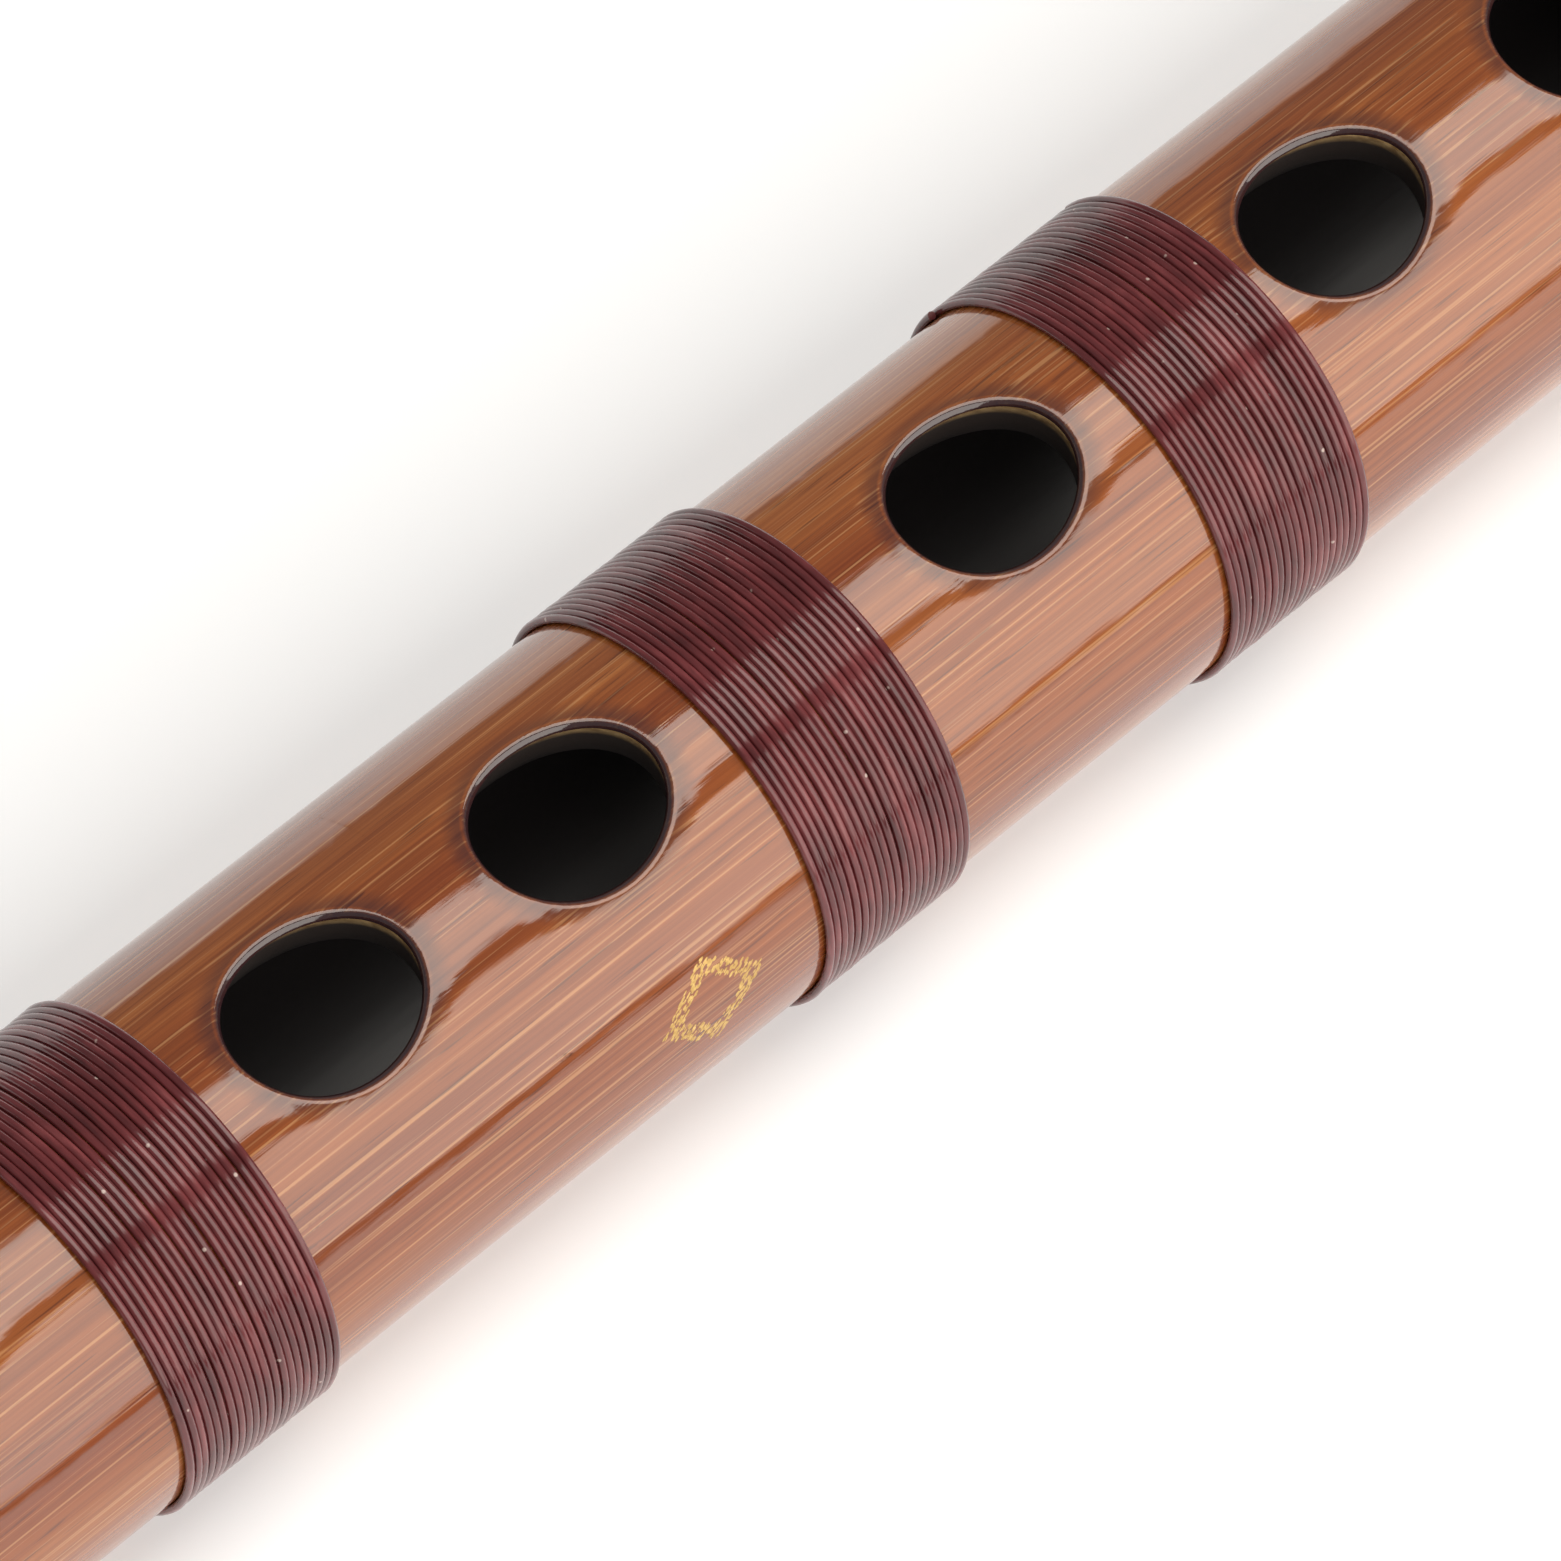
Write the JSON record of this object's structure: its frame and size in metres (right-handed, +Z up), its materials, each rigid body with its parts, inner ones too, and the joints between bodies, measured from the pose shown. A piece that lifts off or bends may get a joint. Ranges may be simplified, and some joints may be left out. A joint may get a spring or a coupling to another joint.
{
  "type": "dizi",
  "caption": "Bamboo transverse flute in two sections with a sliding brass joint, thread bindings, finger holes and bone end rings.",
  "frame": {"origin": "middle of the flute's length, under its axis, on the surface it rests on", "axes": "+X along the tube to the head end, +Z up through the finger holes"},
  "size_m": [0.45, 0.022, 0.022],
  "materials": {
    "bamboo": "clear gloss lacquer over reddish brown bamboo",
    "thread": "dark maroon lacquered thread",
    "brass": "polished, lightly tarnished",
    "bone": "polished bone white",
    "cork": "bare cork",
    "film": "thin wrinkled reed film"
  },
  "bodies": {
    "foot_section": {"foot_tube": "bamboo", "foot_end_ring": "bone", "foot_ferrule": "brass", "tenon_sleeve": "brass", "binding_joint_foot_side": "thread", "binding_hole_4": "thread", "binding_hole_3": "thread", "binding_hole_2": "thread", "binding_hole_1": "thread", "binding_tone_holes": "thread", "binding_tassel_holes": "thread", "binding_foot_end": "thread"},
    "head_section": {"head_tube": "bamboo", "head_end_ring": "bone", "head_ferrule": "brass", "socket_sleeve": "brass", "stopper": "cork", "membrane": "film", "binding_head_end": "thread", "binding_head_middle": "thread", "binding_blow_hole_head_side": "thread", "binding_blow_hole_foot_side": "thread", "binding_membrane": "thread", "binding_joint_head_side": "thread"}
  },
  "joints": [
    {"name": "head_pull", "type": "slide", "parent": "foot_section", "child": "head_section", "axis": [1, 0, 0], "range_m": [0, 0.025]}
  ]
}
